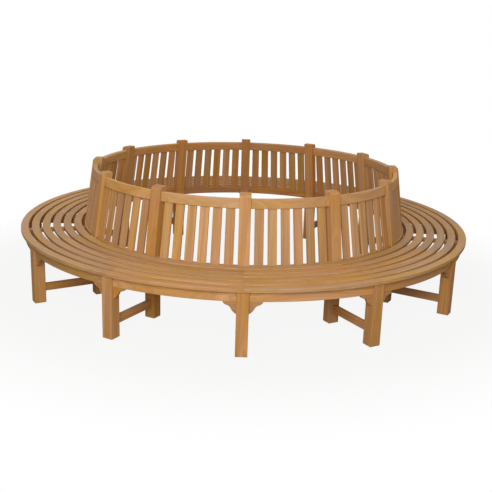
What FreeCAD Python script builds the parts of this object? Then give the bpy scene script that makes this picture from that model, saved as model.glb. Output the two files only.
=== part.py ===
import FreeCAD, Part
import math
import os

# Round tree bench in teak. Millimetres, +Z up, origin on the ground at the centre of the circle.
# Twelve radial frames carry the seat and the back. Frame 1 faces -Y, the rest follow
# anticlockwise seen from above. Shapes are drawn once, either in a frame's own axes or in a
# bay's own axes (X outwards, Y along the circle), then turned into their twelve places.

# Driving dimensions: the whole bench
frame_count = 12
bench_height = 863.0
seat_height = 426.0
seat_outer_radius = 1650.0

# Driving dimensions: seat boards
seat_rows = 6
seat_board_width = 55.0
seat_board_gap = 20.0
seat_board_thickness = 22.0
seat_board_end_gap = 1.5
seat_board_edge_round = 4.0

# Driving dimensions: front legs and curved aprons
leg_width = 74.0
leg_depth = 77.0
leg_behind_seat_edge = 11.0
leg_edge_round = 3.0
apron_height = 66.0
apron_thickness = 28.0
apron_behind_leg = 17.0
apron_edge_round = 2.5

# Driving dimensions: back posts
post_depth = 71.0
post_behind_seat = 12.0
post_lean = 68.0
post_top_round = 24.0

# Driving dimensions: back rails and slats
top_rail_below_post = 28.0
top_rail_height = 64.0
top_rail_behind_post = 18.0
bottom_rail_below_seat = 6.0
bottom_rail_height = 54.0
bottom_rail_behind_post = 8.0
back_rail_thickness = 32.0
back_rail_edge_round = 4.0
back_slats_per_bay = 6
back_slat_width = 58.0
back_slat_thickness = 14.0
back_slat_edge_round = 2.0
back_slat_housing = 12.0

# Driving dimensions: members of one frame
bearer_width = 60.0
bearer_height = 54.0
stretcher_width = 30.0
stretcher_height = 50.0
stretcher_above_ground = 74.0
stretcher_edge_round = 2.0

# Driving dimensions: battens and corner brackets
batten_width = 60.0
batten_thickness = 20.0
batten_housing = 8.0
bracket_reach = 82.0
bracket_drop = 77.0
bracket_thickness = 22.0
bracket_behind_apron = 3.0
bracket_wave_depth = 4.0

# Driving dimensions: tenons
rail_tenon_thickness = 12.0
rail_tenon_length = 23.0
rail_tenon_shoulder = 9.0
bearer_tenon_thickness = 18.0
bearer_tenon_shoulder = 9.0
bearer_front_tenon = 40.0
bearer_back_tenon = 60.0
stretcher_tenon_thickness = 14.0
stretcher_tenon_shoulder = 8.0
stretcher_tenon = 40.0

# Driving dimensions: pegs, dowels and screws
peg_diameter = 10.0
rail_peg_diameter = 8.0
rail_peg_past_tenon = 9.0
dowel_diameter = 8.0
dowel_depth = 18.0
screw_diameter = 5.0
screw_head_diameter = 10.0
screw_head_height = 3.0
screw_into_support = 22.0
plug_depth = 8.0
screw_from_board_end = 16.0
batten_screw_head_height = 2.0
batten_screw_into_board = 14.0

# Places that follow from the sizes above
bay_angle = 360.0 / frame_count
half_bay = bay_angle / 2
bay_sine = math.sin(math.radians(half_bay))
bay_cosine = math.cos(math.radians(half_bay))
far_out = seat_outer_radius + leg_depth

seat_underside = seat_height - seat_board_thickness
board_pitch = seat_board_width + seat_board_gap
board_middle_radii = [
    seat_outer_radius - seat_board_width / 2 - row * board_pitch for row in range(seat_rows)
]
seat_inner_radius = board_middle_radii[-1] - seat_board_width / 2

leg_outer = seat_outer_radius - leg_behind_seat_edge
leg_inner = leg_outer - leg_depth
half_leg = leg_width / 2
apron_outer = leg_outer - apron_behind_leg
apron_inner = apron_outer - apron_thickness
apron_bottom = seat_underside - apron_height

post_outer = seat_inner_radius - post_behind_seat
post_inner = post_outer - post_depth
post_rake = post_lean / (bench_height - seat_underside)
post_slope = math.atan(post_rake)

top_rail_rise = (
    top_rail_height * math.cos(post_slope) + back_rail_thickness * math.sin(post_slope)
) / 2
top_rail_level = bench_height - top_rail_below_post - top_rail_rise
top_rail_outer = post_outer - post_rake * (top_rail_level - seat_underside) - top_rail_behind_post
top_rail_middle = top_rail_outer - back_rail_thickness / 2 / math.cos(post_slope)
top_rail_foot_level = top_rail_level - top_rail_height / 2 * math.cos(post_slope)
top_rail_foot_radius = top_rail_middle + top_rail_height / 2 * math.sin(post_slope)
bottom_rail_top = seat_height - bottom_rail_below_seat
bottom_rail_bottom = bottom_rail_top - bottom_rail_height
bottom_rail_level = (bottom_rail_top + bottom_rail_bottom) / 2
bottom_rail_outer = post_outer - bottom_rail_behind_post
bottom_rail_middle = bottom_rail_outer - back_rail_thickness / 2

bearer_bottom = seat_underside - bearer_height
bearer_level = seat_underside - bearer_height / 2
stretcher_top = stretcher_above_ground + stretcher_height
stretcher_level = stretcher_above_ground + stretcher_height / 2
batten_bottom = seat_underside - batten_thickness

bracket_outer = apron_outer - bracket_behind_apron
bracket_middle = bracket_outer - bracket_thickness / 2


# Basic shapes


def vec(x, y, z):
    return FreeCAD.Vector(x, y, z)


def block(x_low, x_high, width, z_low, z_high):
    """A box that is centred on the X axis."""
    return Part.makeBox(x_high - x_low, width, z_high - z_low, vec(x_low, -width / 2, z_low))


def rod(start, direction, length, diameter):
    return Part.makeCylinder(diameter / 2, length, start, direction)


def turned(shape, degrees):
    """A copy of the shape, turned about the bench's axis."""
    copy = shape.copy()
    copy.rotate(vec(0, 0, 0), vec(0, 0, 1), degrees)
    return copy


def mirrored(shape):
    """The same shape on the other side of its frame or bay."""
    return shape.mirror(vec(0, 0, 0), vec(0, 1, 0))


def long_edges(shape, direction):
    """The straight edges that run along a direction."""
    found = []
    for edge in shape.Edges:
        span = edge.Vertexes[-1].Point - edge.Vertexes[0].Point
        if span.Length > 0 and span.cross(direction).Length < 1e-6 * span.Length:
            found.append(edge)
    return found


def section(x_low, x_high, z_low, z_high, low_round, high_round):
    """A face in the XZ plane: a rectangle with its lower and upper corners rounded."""
    edges = []

    def line(x1, z1, x2, z2):
        edges.append(Part.LineSegment(vec(x1, 0, z1), vec(x2, 0, z2)).toShape())

    def corner(centre_x, centre_z, radius, first_angle):
        points = []
        for step in (0, 45, 90):
            angle = math.radians(first_angle + step)
            points.append(vec(centre_x + radius * math.cos(angle), 0, centre_z + radius * math.sin(angle)))
        edges.append(Part.Arc(points[0], points[1], points[2]).toShape())

    line(x_low + low_round, z_low, x_high - low_round, z_low)
    if low_round > 0:
        corner(x_high - low_round, z_low + low_round, low_round, -90)
    line(x_high, z_low + low_round, x_high, z_high - high_round)
    if high_round > 0:
        corner(x_high - high_round, z_high - high_round, high_round, 0)
    line(x_high - high_round, z_high, x_low + high_round, z_high)
    if high_round > 0:
        corner(x_low + high_round, z_high - high_round, high_round, 90)
    line(x_low, z_high - high_round, x_low, z_low + low_round)
    if low_round > 0:
        corner(x_low + low_round, z_low + low_round, low_round, 180)
    return Part.Face(Part.Wire(edges))


def swept(face, degrees):
    """A section swept round the bench's axis, centred on the X axis."""
    return turned(face.revolve(vec(0, 0, 0), vec(0, 0, 1), degrees), -degrees / 2)


def between_frames(clearance):
    """The room in a bay between planes that lie a clearance off its two frames' middles."""
    apex = clearance / bay_sine
    side = (far_out * bay_sine - clearance) / bay_cosine
    corners = [vec(apex, 0, 0), vec(far_out, -side, 0), vec(far_out, side, 0), vec(apex, 0, 0)]
    return Part.Face(Part.makePolygon(corners)).extrude(vec(0, 0, bench_height))


def curved_bar(middle, level, thickness, height, slope, edge_round):
    """A bar along the circle, a whole bay long. A slope leans its top towards the tree."""
    face = section(-thickness / 2, thickness / 2, -height / 2, height / 2, edge_round, edge_round)
    face.rotate(vec(0, 0, 0), vec(0, 1, 0), -math.degrees(slope))
    face.translate(vec(middle, 0, level))
    return swept(face, bay_angle)


def curved_rail(middle, level, thickness, height, slope, edge_round):
    """A rail along the circle between two legs, with a tenon on each end."""
    body = curved_bar(middle, level, thickness, height, slope, edge_round)
    body = body.common(between_frames(half_leg))
    tenon_height = height - 2 * rail_tenon_shoulder
    tongue = curved_bar(middle, level, rail_tenon_thickness, tenon_height, slope, 0)
    tongue = tongue.common(between_frames(half_leg - rail_tenon_length))
    return body.fuse(tongue).removeSplitter()


# Pegs, dowels and screws, in a frame's own axes


def cross_peg(x, z):
    """A peg straight through a leg or post, from side to side."""
    return rod(vec(x, -half_leg, z), vec(0, 1, 0), leg_width, peg_diameter)


def rail_peg_side():
    """How far off a frame's middle the pegs of the curved rails sit."""
    return half_leg - rail_tenon_length / 2


def apron_peg():
    """Driven in from the leg's outer face, through the apron's tenon."""
    tenon_inner = (apron_inner + apron_outer - rail_tenon_thickness) / 2
    end = tenon_inner - rail_peg_past_tenon
    start = vec(end, rail_peg_side(), (apron_bottom + seat_underside) / 2)
    return rod(start, vec(1, 0, 0), leg_outer - end, rail_peg_diameter)


def back_rail_peg(middle, level):
    """Driven in from the post's inner face, through a back rail's tenon."""
    end = middle + rail_tenon_thickness / 2 + rail_peg_past_tenon
    start = vec(post_inner - post_lean, rail_peg_side(), level)
    return rod(start, vec(1, 0, 0), end - start.x, rail_peg_diameter).common(plain_post())


def bracket_leg_dowel():
    start = vec(bracket_middle, half_leg - dowel_depth, apron_bottom - bracket_drop * 0.3)
    return rod(start, vec(0, 1, 0), 2 * dowel_depth, dowel_diameter)


def bracket_apron_dowel():
    start = vec(bracket_middle, half_leg + bracket_reach * 0.35, apron_bottom - dowel_depth)
    return rod(start, vec(0, 0, 1), 2 * dowel_depth, dowel_diameter)


def board_screw(radius):
    """Down through a board's end into what carries it, head under a plug."""
    head_top = seat_height - plug_depth
    head_bottom = head_top - screw_head_height
    tip = seat_underside - screw_into_support
    head = rod(vec(radius, screw_from_board_end, head_bottom), vec(0, 0, 1), screw_head_height, screw_head_diameter)
    shank = rod(vec(radius, screw_from_board_end, tip), vec(0, 0, 1), head_bottom - tip, screw_diameter)
    return head.fuse(shank)


def board_plug(radius):
    start = vec(radius, screw_from_board_end, seat_height - plug_depth)
    return rod(start, vec(0, 0, 1), plug_depth, screw_head_diameter)


def batten_screw(radius):
    """Up through a batten into a board, in a bay's own axes."""
    head = rod(vec(radius, 0, batten_bottom), vec(0, 0, 1), batten_screw_head_height, screw_head_diameter)
    length = batten_thickness - batten_screw_head_height + batten_screw_into_board
    start = vec(radius, 0, batten_bottom + batten_screw_head_height)
    return head.fuse(rod(start, vec(0, 0, 1), length, screw_diameter))


# Members of one frame, in the frame's own axes


def plain_post():
    """The back leg with the leaning post above it, before its mortises are cut."""
    tangent = post_top_round * math.tan((math.pi / 2 - post_slope) / 2)
    top_outer = post_outer - post_lean
    arc_start = vec(
        top_outer + tangent * math.sin(post_slope),
        0,
        bench_height - tangent * math.cos(post_slope),
    )
    arc_end = vec(top_outer - tangent, 0, bench_height)
    arc_centre = vec(top_outer - tangent, 0, bench_height - post_top_round)
    halfway = (arc_start + arc_end) * 0.5 - arc_centre
    arc_middle = arc_centre + halfway * (post_top_round / halfway.Length)
    corners = [
        arc_end,
        vec(top_outer - post_depth, 0, bench_height),
        vec(post_inner, 0, seat_underside),
        vec(post_inner, 0, 0),
        vec(post_outer, 0, 0),
        vec(post_outer, 0, seat_underside),
        arc_start,
    ]
    edges = [Part.Arc(arc_start, arc_middle, arc_end).toShape()]
    for first, second in zip(corners, corners[1:]):
        edges.append(Part.LineSegment(first, second).toShape())
    post = Part.Face(Part.Wire(edges)).extrude(vec(0, leg_width, 0))
    post.translate(vec(0, -half_leg, 0))
    eased = []
    for edge in post.Edges:
        box = edge.BoundBox
        if box.YLength < 1e-6 and box.ZMax > 1e-6:
            eased.append(edge)
    return post.makeFillet(leg_edge_round, eased)


def plain_leg():
    leg = block(leg_inner, leg_outer, leg_width, 0, seat_underside)
    return leg.makeFillet(leg_edge_round, long_edges(leg, vec(0, 0, 1)))


def plain_bearer():
    bearer = block(post_outer, leg_inner, bearer_width, bearer_bottom, seat_underside)
    low = bearer_bottom + bearer_tenon_shoulder
    high = seat_underside - bearer_tenon_shoulder
    start = post_outer - bearer_back_tenon
    end = leg_inner + bearer_front_tenon
    return bearer.fuse(block(start, end, bearer_tenon_thickness, low, high)).removeSplitter()


def plain_stretcher():
    bar = block(post_outer, leg_inner, stretcher_width, stretcher_above_ground, stretcher_top)
    bar = bar.makeFillet(stretcher_edge_round, long_edges(bar, vec(1, 0, 0)))
    low = stretcher_above_ground + stretcher_tenon_shoulder
    high = stretcher_top - stretcher_tenon_shoulder
    start = post_outer - stretcher_tenon
    end = leg_inner + stretcher_tenon
    return bar.fuse(block(start, end, stretcher_tenon_thickness, low, high)).removeSplitter()


def plain_bracket():
    """One bracket, on the frame's +Y side, with its ogee edge of three arcs."""
    def at(out_share, down_share):
        return vec(0, half_leg + bracket_reach * out_share, apron_bottom - bracket_drop * down_share)

    def wave(start, end, bulge):
        chord = end - start
        outward = vec(0, -chord.z, chord.y) * (1 / chord.Length)
        return Part.Arc(start, (start + end) * 0.5 + outward * bulge, end).toShape()

    root, tip, heel = at(0, 0), at(1, 0), at(0, 1)
    upper, lower = at(0.73, 0.28), at(0.4, 0.55)
    edges = [
        Part.LineSegment(root, tip).toShape(),
        wave(tip, upper, bracket_wave_depth),
        wave(upper, lower, -bracket_wave_depth),
        wave(lower, heel, bracket_wave_depth),
        Part.LineSegment(heel, root).toShape(),
    ]
    outline = Part.Face(Part.Wire(edges)).extrude(vec(far_out, 0, 0))
    band = swept(
        section(bracket_outer - bracket_thickness, bracket_outer, apron_bottom - bracket_drop, apron_bottom, 0, 0),
        bay_angle,
    )
    return outline.common(band)


# Members of one bay, in the bay's own axes


def seat_board(radius):
    half = seat_board_width / 2
    degrees = bay_angle - math.degrees(seat_board_end_gap / radius)
    face = section(radius - half, radius + half, seat_underside, seat_height, 0, seat_board_edge_round)
    return swept(face, degrees)


def plain_batten():
    inner = bottom_rail_outer - batten_housing
    outer = apron_inner + batten_housing
    return block(inner, outer, batten_width, batten_bottom, seat_underside)


def back_slat(turn):
    """A flat board from the bottom rail up to the top rail, housed in both."""
    rise = top_rail_foot_level - bottom_rail_top
    run = bottom_rail_middle - top_rail_foot_radius
    length = math.hypot(rise, run)
    spare = length / 2
    board = block(-back_slat_thickness / 2, back_slat_thickness / 2, back_slat_width, -spare, length + spare)
    board = board.makeFillet(back_slat_edge_round, long_edges(board, vec(0, 0, 1)))
    board.rotate(vec(0, 0, 0), vec(0, 1, 0), -math.degrees(math.atan2(run, rise)))
    board.translate(vec(bottom_rail_middle, 0, bottom_rail_top))
    low = bottom_rail_top - back_slat_housing
    high = top_rail_foot_level + back_slat_housing
    board = board.common(block(0, far_out, 2 * back_slat_width, low, high))
    return turned(board, turn)


def back_slat_turns():
    """Equal gaps between slats and posts, measured half way up the back."""
    radius = (bottom_rail_middle + top_rail_foot_radius) / 2
    bay_arc = math.radians(bay_angle) * radius
    gap = (bay_arc - leg_width - back_slats_per_bay * back_slat_width) / (back_slats_per_bay + 1)
    pitch = math.degrees((back_slat_width + gap) / radius)
    middle = (back_slats_per_bay - 1) / 2
    return [(number - middle) * pitch for number in range(back_slats_per_bay)]


# One frame and one bay, with every mortise and hole cut


def both_sides(shape):
    return [shape, mirrored(shape)]


apron = curved_rail(
    apron_outer - apron_thickness / 2,
    seat_underside - apron_height / 2,
    apron_thickness,
    apron_height,
    0,
    apron_edge_round,
)
bottom_rail = curved_rail(
    bottom_rail_middle,
    bottom_rail_level,
    back_rail_thickness,
    bottom_rail_height,
    0,
    back_rail_edge_round,
)
top_rail = curved_rail(
    top_rail_middle,
    top_rail_level,
    back_rail_thickness,
    top_rail_height,
    post_slope,
    back_rail_edge_round,
)
bearer = plain_bearer()
stretcher = plain_stretcher()
bracket = plain_bracket()
batten = plain_batten()
slats = [back_slat(turn) for turn in back_slat_turns()]
boards = [seat_board(radius) for radius in board_middle_radii]

bearer_front_peg = cross_peg(leg_inner + bearer_front_tenon * 0.4, bearer_level)
bearer_back_peg = cross_peg(post_outer - bearer_back_tenon + peg_diameter, bearer_level)
stretcher_front_peg = cross_peg(leg_inner + stretcher_tenon / 2, stretcher_level)
stretcher_back_peg = cross_peg(post_outer - stretcher_tenon / 2, stretcher_level)
apron_pegs = both_sides(apron_peg())
bottom_rail_pegs = both_sides(back_rail_peg(bottom_rail_middle, bottom_rail_level))
top_rail_pegs = both_sides(back_rail_peg(top_rail_middle, top_rail_level))
leg_dowels = both_sides(bracket_leg_dowel())
apron_dowels = both_sides(bracket_apron_dowel())
board_screws = []
board_plugs = []
for radius in board_middle_radii:
    board_screws += both_sides(board_screw(radius))
    board_plugs += both_sides(board_plug(radius))
batten_screws = []
for radius in board_middle_radii[1:]:
    batten_screws.append(batten_screw(radius))


def at_both_ends(pieces):
    """A frame's fittings as the bay on each side of it meets them."""
    return [turned(piece, side * half_bay) for piece in pieces for side in (-1, 1)]


front_leg = plain_leg().cut(
    [bearer, stretcher, turned(apron, half_bay), turned(apron, -half_bay)]
    + [bearer_front_peg, stretcher_front_peg]
    + apron_pegs
    + leg_dowels
    + board_screws
)
back_post = plain_post().cut(
    [bearer, stretcher]
    + [turned(rail, side * half_bay) for rail in (bottom_rail, top_rail) for side in (-1, 1)]
    + [bearer_back_peg, stretcher_back_peg]
    + bottom_rail_pegs
    + top_rail_pegs
)
bearer = bearer.cut([bearer_front_peg, bearer_back_peg] + board_screws)
stretcher = stretcher.cut([stretcher_front_peg, stretcher_back_peg])
bracket = bracket.cut([leg_dowels[0], apron_dowels[0]])
apron = apron.cut([batten] + at_both_ends(apron_pegs + apron_dowels))
bottom_rail = bottom_rail.cut([batten] + slats + at_both_ends(bottom_rail_pegs))
top_rail = top_rail.cut(slats + at_both_ends(top_rail_pegs))
batten = batten.cut(batten_screws)
boards = [board.cut(at_both_ends(board_screws + board_plugs) + batten_screws) for board in boards]


# The twelve places, and one file for each named node

os.makedirs("parts", exist_ok=True)


def solids_of(shapes):
    found = []
    for shape in shapes:
        found += shape.Solids
    return found


def write_node(name, shapes):
    Part.makeCompound(solids_of(shapes)).exportStep("parts/" + name + ".step")


def at_frame(shapes, number):
    return [turned(shape, number * bay_angle - 90) for shape in shapes]


def at_bay(shapes, number):
    return [turned(shape, (number + 0.5) * bay_angle - 90) for shape in shapes]


def write_group(name, shapes, place):
    everywhere = []
    for number in range(frame_count):
        everywhere += place(shapes, number)
    write_node(name, everywhere)


for number in range(frame_count):
    label = "_%02d" % (number + 1)
    write_node("front_leg" + label, at_frame([front_leg], number))
    write_node("back_post" + label, at_frame([back_post], number))
    write_node("top_rail" + label, at_bay([top_rail], number))

for row, board in enumerate(boards):
    write_group("seat_board_row_%d" % (row + 1), [board], at_bay)

write_group("bottom_rails", [bottom_rail], at_bay)
write_group("back_slats", slats, at_bay)
write_group("front_aprons", [apron], at_bay)
write_group("seat_battens", [batten], at_bay)
write_group("seat_bearers", [bearer], at_frame)
write_group("leg_stretchers", [stretcher], at_frame)
write_group("corner_brackets", both_sides(bracket), at_frame)
write_group("front_leg_pegs", [bearer_front_peg, stretcher_front_peg] + apron_pegs, at_frame)
write_group(
    "back_post_pegs",
    [bearer_back_peg, stretcher_back_peg] + bottom_rail_pegs + top_rail_pegs,
    at_frame,
)
write_group("bracket_dowels", leg_dowels + apron_dowels, at_frame)
write_group("board_screws", board_screws, at_frame)
write_group("board_screw_plugs", board_plugs, at_frame)
write_group("batten_screws", batten_screws, at_bay)
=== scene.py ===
import math

import bpy
from mathutils import Matrix, Vector


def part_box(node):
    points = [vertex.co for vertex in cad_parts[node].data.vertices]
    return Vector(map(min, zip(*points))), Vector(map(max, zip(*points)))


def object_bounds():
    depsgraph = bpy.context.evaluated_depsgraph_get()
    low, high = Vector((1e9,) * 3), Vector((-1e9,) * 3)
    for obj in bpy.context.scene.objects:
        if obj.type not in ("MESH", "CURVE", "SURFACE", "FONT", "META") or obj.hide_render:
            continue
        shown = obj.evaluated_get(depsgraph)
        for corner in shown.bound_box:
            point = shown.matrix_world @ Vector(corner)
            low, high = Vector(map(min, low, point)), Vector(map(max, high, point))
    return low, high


# Round tree bench in unfinished teak. Every wooden piece keeps its built shape, so this script
# gives each one its wood: grain that follows the piece, a tone of its own, and end grain on top
# of the legs and posts. Metres, +Z up, the first frame on -Y.

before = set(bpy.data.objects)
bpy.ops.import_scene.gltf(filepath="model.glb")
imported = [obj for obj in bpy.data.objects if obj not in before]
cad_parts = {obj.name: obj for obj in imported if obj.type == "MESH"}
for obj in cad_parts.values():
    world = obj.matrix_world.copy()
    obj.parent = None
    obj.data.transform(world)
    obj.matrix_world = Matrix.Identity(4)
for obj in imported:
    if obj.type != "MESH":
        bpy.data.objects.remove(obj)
built_low, built_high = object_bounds()

# The ring of twelve frames and the bays between them
frame_count = 12
frame_step = 2 * math.pi / frame_count
first_frame = -math.pi / 2
first_bay = first_frame + frame_step / 2
slats_per_bay = 6
seat_rows = 6
frame_labels = ["_%02d" % (number + 1) for number in range(frame_count)]

# Sizes of the built pieces that their boxes don't give, in metres
post_depth = 0.071
rail_thickness = 0.032
top_rail_behind_post = 0.018
apron_thickness = 0.028
bracket_thickness = 0.022
slat_pitch = math.radians(4.172)
slat_lean = 0.184


def outer_radius(node):
    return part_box(node)[1].x


def level(node, share):
    """A height in a node: share 0 is its lowest point, 1 its highest."""
    low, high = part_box(node)
    return low.z + share * (high.z - low.z)


# Shader nodes


def put(tree, kind, inputs=None, **settings):
    """Adds one shader node. Inputs are links from other nodes' outputs, or plain values."""
    made = tree.nodes.new("ShaderNode" + kind)
    for name, value in settings.items():
        setattr(made, name, value)
    for name, value in (inputs or {}).items():
        join(tree, value, made.inputs[name])
    return made


def join(tree, value, socket):
    if isinstance(value, bpy.types.NodeSocket):
        tree.links.new(value, socket)
    else:
        socket.default_value = value


def sums(tree, operation, *values, clamp=False):
    made = put(tree, "Math", dict(enumerate(values)), operation=operation, use_clamp=clamp)
    return made.outputs[0]


def blend(tree, factor, first, second, blend_type="MIX"):
    """Two colours mixed. A colour Mix node has its factor and its colours at sockets 0, 6 and 7."""
    made = put(tree, "Mix", data_type="RGBA", blend_type=blend_type)
    for place, value in ((0, factor), (6, first), (7, second)):
        join(tree, value, made.inputs[place])
    return made.outputs[2]


def vector(tree, x, y, z):
    return put(tree, "CombineXYZ", {"X": x, "Y": y, "Z": z}).outputs[0]


def length(tree, arrow):
    return put(tree, "VectorMath", {0: arrow}, operation="LENGTH").outputs["Value"]


def noise(tree, place, detail=2.0, roughness=0.5):
    """Even noise from 0 to 1, at one feature for each unit of the place given."""
    inputs = {"Vector": place, "Scale": 1.0, "Detail": detail, "Roughness": roughness}
    return put(tree, "TexNoise", inputs).outputs["Fac"]


def stretch(tree, value, low, high, new_low=0.0, new_high=1.0):
    """Low and high become the new low and high, with soft ends."""
    inputs = {0: value, 1: low, 2: high, 3: new_low, 4: new_high}
    return put(tree, "MapRange", inputs, interpolation_type="SMOOTHSTEP").outputs[0]


def new_group(name, inputs, outputs):
    tree = bpy.data.node_groups.new(name, "ShaderNodeTree")
    for label, kind, value in inputs:
        socket = tree.interface.new_socket(label, in_out="INPUT", socket_type="NodeSocket" + kind)
        if value is not None:
            socket.default_value = value
    for label, kind in outputs:
        tree.interface.new_socket(label, in_out="OUTPUT", socket_type="NodeSocket" + kind)
    given = tree.nodes.new("NodeGroupInput").outputs
    result = tree.nodes.new("NodeGroupOutput").inputs
    return tree, given, result


def place_group(tree, group, inputs):
    made = tree.nodes.new("ShaderNodeGroup")
    made.node_tree = group
    for name, value in inputs.items():
        join(tree, value, made.inputs[name])
    return made.outputs


def new_material(name):
    material = bpy.data.materials.new(name)
    material.use_nodes = True
    material.node_tree.nodes.clear()
    return material, material.node_tree


def object_position(tree):
    return put(tree, "TexCoord").outputs["Object"]


def finish_surface(tree, shader):
    put(tree, "OutputMaterial", {"Surface": shader.outputs[0]})


def ring_place_group():
    """Which piece of the ring a point is on, and where it is in that piece, in metres."""
    tree, given, result = new_group(
        "ring place",
        [
            ("Position", "Vector", None),
            ("First", "Float", first_frame),
            ("Pieces", "Float", 1.0),
            ("Pitch", "Float", 1.0),
            ("Middle radius", "Float", 1.0),
            ("Middle level", "Float", 0.0),
            ("Lean", "Float", 0.0),
        ],
        [
            ("Number", "Float"),
            ("Arc", "Float"),
            ("Across", "Float"),
            ("Out", "Float"),
            ("Up", "Float"),
            ("Far side", "Float"),
        ],
    )
    # The nearest frame or bay, and the angle from its middle
    x, y, z = put(tree, "SeparateXYZ", {0: given["Position"]}).outputs
    angle = sums(tree, "SUBTRACT", sums(tree, "ARCTAN2", y, x), given["First"])
    steps = sums(tree, "DIVIDE", angle, frame_step)
    place = sums(tree, "FLOOR", sums(tree, "ADD", steps, 0.5))
    in_place = sums(tree, "MULTIPLY", sums(tree, "SUBTRACT", steps, place), frame_step)
    place = sums(tree, "FLOORED_MODULO", place, float(frame_count))

    # The nearest piece in that bay, and the angle from its middle
    half_pieces = sums(tree, "DIVIDE", given["Pieces"], 2.0)
    last = sums(tree, "SUBTRACT", given["Pieces"], 1.0)
    piece = sums(tree, "ADD", sums(tree, "DIVIDE", in_place, given["Pitch"]), half_pieces)
    piece = sums(tree, "MAXIMUM", sums(tree, "FLOOR", piece), 0.0)
    piece = sums(tree, "MINIMUM", piece, last)
    pitches_off = sums(tree, "SUBTRACT", piece, sums(tree, "DIVIDE", last, 2.0))
    angle_off = sums(tree, "MULTIPLY", pitches_off, given["Pitch"])
    in_piece = sums(tree, "SUBTRACT", in_place, angle_off)

    # Outwards from the piece's middle, along its lean
    radius = length(tree, vector(tree, x, y, 0.0))
    up = sums(tree, "SUBTRACT", z, given["Middle level"])
    leant = sums(tree, "MULTIPLY", sums(tree, "MAXIMUM", up, 0.0), given["Lean"])
    out = sums(tree, "MULTIPLY", radius, sums(tree, "COSINE", in_piece))
    out = sums(tree, "ADD", sums(tree, "SUBTRACT", out, given["Middle radius"]), leant)

    join(tree, sums(tree, "MULTIPLY_ADD", place, given["Pieces"], piece), result["Number"])
    join(tree, sums(tree, "MULTIPLY", in_piece, radius), result["Arc"])
    join(tree, sums(tree, "MULTIPLY", radius, sums(tree, "SINE", in_piece)), result["Across"])
    join(tree, out, result["Out"])
    join(tree, up, result["Up"])
    # 1 at the far side of the ring, -1 at the camera's side
    join(tree, sums(tree, "DIVIDE", y, radius), result["Far side"])
    return tree


# Teak: where a piece lies in its log, and how far the log's heart wanders, in metres
log_length = 9.0
heart_aside = 0.08
heart_nearest = 0.02
heart_depth_range = 0.10
heart_bend = 0.030
heart_waver = 0.0025

# Growth rings: dark lines one ring apart, and soft bands with their rates per metre
ring_width = 0.0065
ring_lateness = 3.0
bands_along = 0.7
bands_across = 75.0

# How much each mark darkens the wood
band_darkness = 0.55
ring_darkness = 0.38
streak_darkness = 0.30
pore_share = 0.45
pore_brown_share = 0.45
pore_brown = (0.10, 0.045, 0.02, 1.0)
end_grain_tint = (0.88, 0.80, 0.71, 1.0)

# How far tones differ: between pieces, within a piece, and at the far side of the ring, away from
# the camera, where painted shade makes the wood a little darker and redder
piece_hue = 0.008
piece_saturation = 0.12
piece_value = 0.26
drift_hue = 0.008
drift_saturation = 0.11
far_shade_hue = -0.004
far_shade_saturation = 0.06
far_shade_value = -0.04

# The sawn and sanded surface
plain_roughness = 0.66
dark_roughness_change = -0.10
pore_relief = -0.6
streak_relief = -0.25


def roll_dice(tree, given):
    """Four numbers from 0 to 1, the same each time for a piece's number and its seed."""
    layer = 0.5
    place = vector(tree, given["Number"], given["Seed"], layer)
    dice = put(tree, "TexWhiteNoise", {"Vector": place}, noise_dimensions="3D").outputs
    first, second, third = put(tree, "SeparateColor", {0: dice["Color"]}).outputs
    return first, second, third, dice["Value"]


def place_in_log(tree, given, dice):
    """Each piece is sawn from its own place: along the log, beside its heart and out from it."""
    first, second, third, _ = dice
    aside = sums(tree, "MULTIPLY_ADD", second, 2 * heart_aside, -heart_aside)
    outward = sums(tree, "MULTIPLY_ADD", third, heart_depth_range, heart_nearest)
    along = sums(tree, "MULTIPLY_ADD", first, log_length, given["Along"])
    side = sums(tree, "ADD", given["Side"], aside)
    depth = sums(tree, "ADD", given["Depth"], outward)
    return along, side, depth


def grain_noise(tree, place, along_rate, cross_rate, detail):
    """Noise drawn out along the grain. Both rates are in features per metre."""
    rates = (along_rate, cross_rate, cross_rate)
    scaled = [sums(tree, "MULTIPLY", value, rate) for value, rate in zip(place, rates)]
    return noise(tree, vector(tree, *scaled), detail)


def growth_rings(tree, place, dice):
    """Soft bands and evenly spaced dark lines round the heart, which wanders along the log."""
    along, side, depth = place
    bend = grain_noise(tree, place, along_rate=1.6, cross_rate=7.0, detail=1.0)
    waver = grain_noise(tree, place, along_rate=9.0, cross_rate=60.0, detail=2.0)
    heart = length(tree, vector(tree, side, depth, 0.0))
    heart = sums(tree, "MULTIPLY_ADD", bend, heart_bend, heart)
    heart = sums(tree, "MULTIPLY_ADD", waver, heart_waver, heart)

    band_along = sums(tree, "MULTIPLY", along, bands_along)
    band_across = sums(tree, "MULTIPLY", heart, bands_across)
    band_place = vector(tree, band_along, band_across, dice[3])
    bands = noise(tree, band_place, detail=2.0, roughness=0.6)
    bands = stretch(tree, bands, low=0.32, high=0.68)

    # A line grows dark late in its ring and ends sharply
    ring = sums(tree, "FRACT", sums(tree, "DIVIDE", heart, ring_width))
    line = sums(tree, "POWER", ring, ring_lateness)
    line = sums(tree, "MULTIPLY", line, stretch(tree, ring, low=1.0, high=0.9))
    return bands, line


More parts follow.
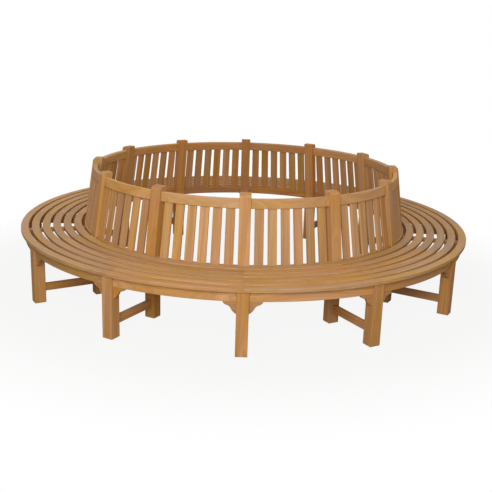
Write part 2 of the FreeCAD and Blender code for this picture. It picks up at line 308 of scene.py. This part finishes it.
def piece_tone(tree, given, dice, drift, colour):
    """Moves a colour to the piece's own tone and to golden or brown, and paints shade at the far
    side of the ring, darker and redder there.
    """
    _, second, third, fourth = dice
    hue, saturation, value = (
        sums(tree, "MULTIPLY", sums(tree, "SUBTRACT", number, 0.5), given["Variety"])
        for number in (second, third, fourth)
    )
    # Painted shade: the far side of the ring, away from the camera, turns darker and redder
    far_side = sums(tree, "MAXIMUM", given["Far side"], 0.0)
    drift_and_shade_hue = sums(tree, "MULTIPLY_ADD", drift, drift_hue, 0.5)
    drift_and_shade_hue = sums(tree, "MULTIPLY_ADD", far_side, far_shade_hue, drift_and_shade_hue)
    drift_and_shade_saturation = sums(tree, "MULTIPLY_ADD", drift, drift_saturation, 1.0)
    drift_and_shade_saturation = sums(tree, "MULTIPLY_ADD", far_side, far_shade_saturation, drift_and_shade_saturation)
    far_shade_tone = sums(tree, "MULTIPLY_ADD", far_side, far_shade_value, 1.0)
    inputs = {
        "Hue": sums(tree, "MULTIPLY_ADD", hue, piece_hue, drift_and_shade_hue),
        "Saturation": sums(tree, "MULTIPLY_ADD", saturation, piece_saturation, drift_and_shade_saturation),
        "Value": sums(tree, "MULTIPLY_ADD", value, piece_value, far_shade_tone),
        "Color": colour,
    }
    return put(tree, "HueSaturation", inputs).outputs[0]


def teak_group():
    """Teak sawn from a log: rings round a heart beside the board, streaks, pores, end grain."""
    tree, given, result = new_group(
        "teak",
        [
            ("Along", "Float", 0.0),
            ("Side", "Float", 0.0),
            ("Depth", "Float", 0.0),
            ("Number", "Float", 0.0),
            ("Seed", "Float", 0.0),
            ("Far side", "Float", 0.0),
            ("End grain", "Float", 0.0),
            ("Pale", "Color", (0.60, 0.34, 0.15, 1.0)),
            ("Deep", "Color", (0.40, 0.19, 0.07, 1.0)),
            ("Variety", "Float", 1.0),
            ("Figure", "Float", 1.0),
        ],
        [("Color", "Color"), ("Roughness", "Float"), ("Height", "Float")],
    )
    dice = roll_dice(tree, given)
    place = place_in_log(tree, given, dice)
    bands, line = growth_rings(tree, place, dice)
    streaks = grain_noise(tree, place, along_rate=2.2, cross_rate=190.0, detail=2.0)
    streaks = stretch(tree, streaks, low=0.35, high=0.72)
    pores = grain_noise(tree, place, along_rate=34.0, cross_rate=1300.0, detail=1.0)
    pores = stretch(tree, pores, low=0.60, high=0.74)
    # Golden and brown parts of one piece
    drift = grain_noise(tree, place, along_rate=2.6, cross_rate=13.0, detail=1.0)
    drift = sums(tree, "SUBTRACT", stretch(tree, drift, low=0.30, high=0.70), 0.5)

    dark = sums(tree, "MULTIPLY", bands, band_darkness)
    dark = sums(tree, "MULTIPLY_ADD", line, ring_darkness, dark)
    dark = sums(tree, "MULTIPLY_ADD", streaks, streak_darkness, dark)
    dark = sums(tree, "MULTIPLY", dark, given["Figure"], clamp=True)
    colour = blend(tree, dark, given["Pale"], given["Deep"])
    pore_colour = blend(tree, pore_brown_share, given["Deep"], pore_brown)
    colour = blend(tree, sums(tree, "MULTIPLY", pores, pore_share), colour, pore_colour)
    colour = piece_tone(tree, given, dice, drift, colour)
    end_colour = blend(tree, 1.0, colour, end_grain_tint, "MULTIPLY")
    join(tree, blend(tree, given["End grain"], colour, end_colour), result["Color"])

    roughness = sums(tree, "MULTIPLY_ADD", dark, dark_roughness_change, plain_roughness)
    join(tree, roughness, result["Roughness"])
    relief = sums(tree, "MULTIPLY", streaks, streak_relief)
    join(tree, sums(tree, "MULTIPLY_ADD", pores, pore_relief, relief), result["Height"])
    return tree


ring_place = ring_place_group()
teak = teak_group()

# Which way the grain runs: first along it, then across the wide face, then through it
along_curve_flat = ("Arc", "Out", "Up")
along_curve_upright = ("Arc", "Up", "Out")
upright = ("Up", "Across", "Out")
radial_upright = ("Out", "Up", "Across")
radial_flat = ("Out", "Across", "Up")

# Teak as it is sawn: pale and deep parts of the figure. The last two are teak made darker with
# painted shade, for pieces in the shade under the seat
honey = ((0.62, 0.332, 0.113), (0.45, 0.210, 0.064))
tan = ((0.58, 0.328, 0.124), (0.44, 0.224, 0.077))
amber = ((0.60, 0.308, 0.110), (0.42, 0.186, 0.060))
russet = ((0.61, 0.320, 0.110), (0.44, 0.204, 0.062))
gold = ((0.615, 0.338, 0.130), (0.435, 0.212, 0.076))
blond = ((0.634, 0.350, 0.138), (0.466, 0.227, 0.080))
# Painted shade: a darker, redder teak for the battens, bearers, stretchers and bottom rails under
# the seat
shaded_umber = ((0.51, 0.254, 0.086), (0.36, 0.154, 0.047))
# A less orange teak for the brackets, which is their own tone, also made darker as painted shade
# under the seat
shaded_chestnut = ((0.52, 0.272, 0.093), (0.375, 0.171, 0.053))

# Brass as it mottles
brass_deep = (0.52, 0.36, 0.12, 1.0)
brass_pale = (0.62, 0.45, 0.18, 1.0)

# Each kind of piece has its own seed, which picks its figure and the tones of its pieces
first_seat_row_seed = 210
top_rail_seed = 3262
bottom_rail_seed = 23
leg_seed = 1100
bearer_seed = 26
stretcher_seed = 27
batten_seed = 28
bracket_seed = 29
peg_seed = 30
dowel_seed = 31
apron_seed = 1464
post_seed = 273
slat_seed = 3305


def end_grain_mask(tree):
    """Faces that look straight up or down show end grain."""
    normal = put(tree, "NewGeometry").outputs["Normal"]
    upward = put(tree, "SeparateXYZ", {0: normal}).outputs["Z"]
    return stretch(tree, sums(tree, "ABSOLUTE", upward), low=0.55, high=0.95)


def teak_material(name, run, seed, tones, place, variety=1.0, figure=1.0, ends=False):
    """Teak for one kind of piece. Run is the way its grain goes, place says where it stands."""
    material, tree = new_material(name)
    local = place_group(tree, ring_place, {"Position": object_position(tree), **place})
    along, side, depth = (local[axis] for axis in run)
    pale, deep = tones
    inputs = {
        "Along": along,
        "Side": side,
        "Depth": depth,
        "Number": local["Number"],
        "Seed": float(seed),
        "Far side": local["Far side"],
        "Pale": (*pale, 1.0),
        "Deep": (*deep, 1.0),
        "Variety": variety,
        "Figure": figure,
    }
    if ends:
        inputs["End grain"] = end_grain_mask(tree)
    wood = place_group(tree, teak, inputs)
    relief = put(tree, "Bump", {"Strength": 0.35, "Distance": 0.0006, "Height": wood["Height"]})
    shader = put(
        tree,
        "BsdfPrincipled",
        {
            "Base Color": wood["Color"],
            "Roughness": wood["Roughness"],
            "Normal": relief.outputs[0],
            "Specular IOR Level": 0.35,
        },
    )
    finish_surface(tree, shader)
    return material


def brass_material():
    material, tree = new_material("brass_screws")
    features_per_metre = 400.0
    inputs = {0: object_position(tree), "Scale": features_per_metre}
    mottle = noise(tree, put(tree, "VectorMath", inputs, operation="SCALE").outputs[0])
    shader = put(
        tree,
        "BsdfPrincipled",
        {
            "Base Color": blend(tree, mottle, brass_deep, brass_pale),
            "Roughness": stretch(tree, mottle, low=0.2, high=0.8, new_low=0.3, new_high=0.5),
            "Metallic": 1.0,
        },
    )
    finish_surface(tree, shader)
    return material


def dress(names, material):
    """Gives nodes their material. Their shape and place stay as built."""
    for name in names:
        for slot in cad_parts[name].material_slots:
            slot.material = material


# Where legs and posts stand, from the frame on +X
seat_underside = level("seat_board_row_1", 0)
leg_low, leg_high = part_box("front_leg_04")
leg_middle = (leg_low.x + leg_high.x) / 2
post_low, post_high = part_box("back_post_04")
post_middle = post_high.x - post_depth / 2
post_lean = (post_high.x - post_low.x - post_depth) / (post_high.z - seat_underside)
bottom_rail_middle = outer_radius("bottom_rails") - rail_thickness / 2


def dress_seat_boards():
    board_pitch = outer_radius("seat_board_row_1") - outer_radius("seat_board_row_2")
    for row in range(seat_rows):
        node = "seat_board_row_%d" % (row + 1)
        name = "teak_seat_row_%d" % (row + 1)
        place = {
            "First": first_bay,
            "Middle radius": outer_radius(node) - board_pitch / 2,
            "Middle level": level(node, 0.5),
        }
        seed = first_seat_row_seed + row
        dress([node], teak_material(name, along_curve_flat, seed, tan, place, figure=1.55))


def dress_seat_battens():
    place = {"First": first_bay, "Middle level": level("seat_battens", 0.5)}
    # Painted shade in the darker teak of the battens under the seat
    battens = teak_material("teak_battens", radial_flat, batten_seed, shaded_umber, place)
    dress(["seat_battens"], battens)


def dress_legs():
    legs = teak_material(
        "teak_front_legs", upright, leg_seed, russet, {"Middle radius": leg_middle},
        figure=1.3, ends=True,
    )
    dress(["front_leg" + label for label in frame_labels], legs)


def dress_posts():
    place = {
        "Middle radius": post_middle,
        "Middle level": seat_underside,
        "Lean": post_lean,
    }
    posts = teak_material("teak_back_posts", upright, post_seed, russet, place, ends=True)
    dress(["back_post" + label for label in frame_labels], posts)


def dress_bearers_and_stretchers():
    for node, name, seed in (
        ("seat_bearers", "teak_bearers", bearer_seed),
        ("leg_stretchers", "teak_stretchers", stretcher_seed),
    ):
        place = {"Middle level": level(node, 0.5)}
        # Painted shade in the darker teak of the bearers and stretchers under the seat
        dress([node], teak_material(name, radial_upright, seed, shaded_umber, place))


def dress_brackets():
    place = {
        "Middle radius": outer_radius("corner_brackets") - bracket_thickness / 2,
        "Middle level": level("corner_brackets", 0.5),
    }
    # The brackets' darker teak holds painted shade
    brackets = teak_material(
        "teak_brackets", along_curve_upright, bracket_seed, shaded_chestnut, place, variety=0.8
    )
    dress(["corner_brackets"], brackets)


def dress_aprons():
    place = {
        "First": first_bay,
        "Middle radius": outer_radius("front_aprons") - apron_thickness / 2,
        "Middle level": level("front_aprons", 0.5),
    }
    aprons = teak_material("teak_aprons", along_curve_upright, apron_seed, honey, place)
    dress(["front_aprons"], aprons)


def dress_top_rails():
    middle_level = level("top_rail_01", 0.5)
    post_face = post_high.x - post_lean * (middle_level - seat_underside)
    place = {
        "First": first_bay,
        "Middle radius": post_face - top_rail_behind_post - rail_thickness / 2,
        "Middle level": middle_level,
    }
    rails = teak_material("teak_top_rails", along_curve_upright, top_rail_seed, blond, place)
    dress(["top_rail" + label for label in frame_labels], rails)


def dress_bottom_rails():
    place = {
        "First": first_bay,
        "Middle radius": bottom_rail_middle,
        "Middle level": level("bottom_rails", 0.5),
    }
    # Painted shade in the darker teak of the bottom rails
    rails = teak_material(
        "teak_bottom_rails", along_curve_upright, bottom_rail_seed, shaded_umber, place
    )
    dress(["bottom_rails"], rails)


def dress_slats():
    place = {
        "First": first_bay,
        "Pieces": float(slats_per_bay),
        "Pitch": slat_pitch,
        "Middle radius": bottom_rail_middle,
        "Middle level": level("back_slats", 0),
        "Lean": slat_lean,
    }
    slats = teak_material(
        "teak_back_slats", upright, slat_seed, gold, place, variety=1.1, figure=1.2
    )
    dress(["back_slats"], slats)


def dress_fastenings():
    place = {"Middle radius": leg_middle}
    pegs = teak_material("teak_pegs", upright, peg_seed, amber, place)
    dress(["front_leg_pegs", "back_post_pegs", "board_screw_plugs"], pegs)
    dowels = teak_material("hardwood_dowels", upright, dowel_seed, tan, place)
    dress(["bracket_dowels"], dowels)
    dress(["board_screws", "batten_screws"], brass_material())


dress_seat_boards()
dress_seat_battens()
dress_legs()
dress_posts()
dress_bearers_and_stretchers()
dress_brackets()
dress_aprons()
dress_top_rails()
dress_bottom_rails()
dress_slats()
dress_fastenings()

# Stage

clear_white = (1.0, 1.0, 1.0, 1.0)
floor_bounce = (0.42, 0.37, 0.32, 1.0)
room_light = 0.22

# Softboxes: the side they stand on in degrees, 0 for the camera's and 90 for its right, their
# height over the horizon in degrees, then distance and size in metres, and power in watts
softboxes = {
    "front_softbox": (-4, 24, 6.3, 2.8, 222),
    "left_softbox": (-70, 58, 5.5, 2.6, 32),
    "right_softbox": (68, 38, 5.5, 2.6, 22),
    "back_left_softbox": (-130, 40, 6.0, 2.6, 52),
    "back_right_softbox": (130, 40, 6.0, 2.6, 40),
}
lit_point = Vector((0, 0, 0.5))


def studio_floor_material():
    """White to the camera, with a share of the bench's soft shadow near it. Light bounces warm."""
    shadow_share = 0.10
    bench_reach = 0.5 * (built_high.x - built_low.x)
    fade_start = bench_reach + 0.1
    fade_end = fade_start + 1.0
    material, tree = new_material("studio_floor")
    radius = length(tree, object_position(tree))
    white_share = stretch(tree, radius, fade_start, fade_end, 1.0 - shadow_share, 1.0)
    matt = put(tree, "BsdfDiffuse", {"Color": floor_bounce})
    white = put(tree, "Emission", {"Color": clear_white, "Strength": 1.0})
    seen = put(tree, "LightPath").outputs["Is Camera Ray"]
    share = sums(tree, "MULTIPLY", seen, white_share)
    mixed = put(tree, "MixShader", {0: share, 1: matt.outputs[0], 2: white.outputs[0]})
    finish_surface(tree, mixed)
    return material


def make_floor():
    reach = 60.0
    mesh = bpy.data.meshes.new("floor")
    corners = [(-reach, -reach, 0), (reach, -reach, 0), (reach, reach, 0), (-reach, reach, 0)]
    mesh.from_pydata(corners, [], [(0, 1, 2, 3)])
    mesh.materials.append(studio_floor_material())
    floor = bpy.data.objects.new("floor", mesh)
    bpy.context.scene.collection.objects.link(floor)


def make_world():
    """A dim white room that the camera and reflections see as clear white."""
    world = bpy.data.worlds.new("studio")
    world.use_nodes = True
    tree = world.node_tree
    tree.nodes.clear()
    seen = put(tree, "LightPath").outputs
    clear = sums(tree, "MAXIMUM", seen["Is Camera Ray"], seen["Is Glossy Ray"])
    room = put(tree, "Background", {"Color": clear_white, "Strength": room_light})
    white = put(tree, "Background", {"Color": clear_white, "Strength": 1.0})
    mixed = put(tree, "MixShader", {0: clear, 1: room.outputs[0], 2: white.outputs[0]})
    put(tree, "OutputWorld", {"Surface": mixed.outputs[0]})
    bpy.context.scene.world = world


def make_softbox(name, azimuth, elevation, distance, size, power):
    """A square lamp that looks at the middle of the bench."""
    turn, rise = math.radians(azimuth), math.radians(elevation)
    flat = math.cos(rise)
    away = Vector((math.sin(turn) * flat, -math.cos(turn) * flat, math.sin(rise)))
    data = bpy.data.lights.new(name, "AREA")
    data.shape = "SQUARE"
    data.size = size
    data.energy = power
    lamp = bpy.data.objects.new(name, data)
    lamp.location = lit_point + away * distance
    lamp.rotation_mode = "QUATERNION"
    lamp.rotation_quaternion = (-away).to_track_quat("-Z", "Y")
    bpy.context.scene.collection.objects.link(lamp)


def make_camera():
    """About 1.9 m up in front of the bench, looking down on it, turned a little off its frame."""
    distance = 6.2235
    elevation = math.radians(16.18)
    roll = math.radians(1.816)
    turn = math.radians(-0.421)
    target = Vector((0.0207, 0.0, 0.2036))
    photo_width_pixels = 492
    focal_length_pixels = 803.8
    sensor_width = 36.0

    back = Vector((0, -math.cos(elevation), math.sin(elevation)))
    place = target + back * distance
    level_right = Vector((1, 0, 0))
    level_up = back.cross(level_right)
    right = math.cos(roll) * level_right + math.sin(roll) * level_up
    up = back.cross(right)
    data = bpy.data.cameras.new("camera")
    data.sensor_width = sensor_width
    data.lens = focal_length_pixels / photo_width_pixels * data.sensor_width
    camera = bpy.data.objects.new("camera", data)
    axes = Matrix((right, up, back)).transposed().to_4x4()
    camera.matrix_world = Matrix.Rotation(turn, 4, "Z") @ Matrix.Translation(place) @ axes
    bpy.context.scene.collection.objects.link(camera)
    bpy.context.scene.camera = camera


make_floor()
make_world()
for softbox_name, softbox in softboxes.items():
    make_softbox(softbox_name, *softbox)
make_camera()
bpy.context.scene.view_settings.view_transform = "Standard"
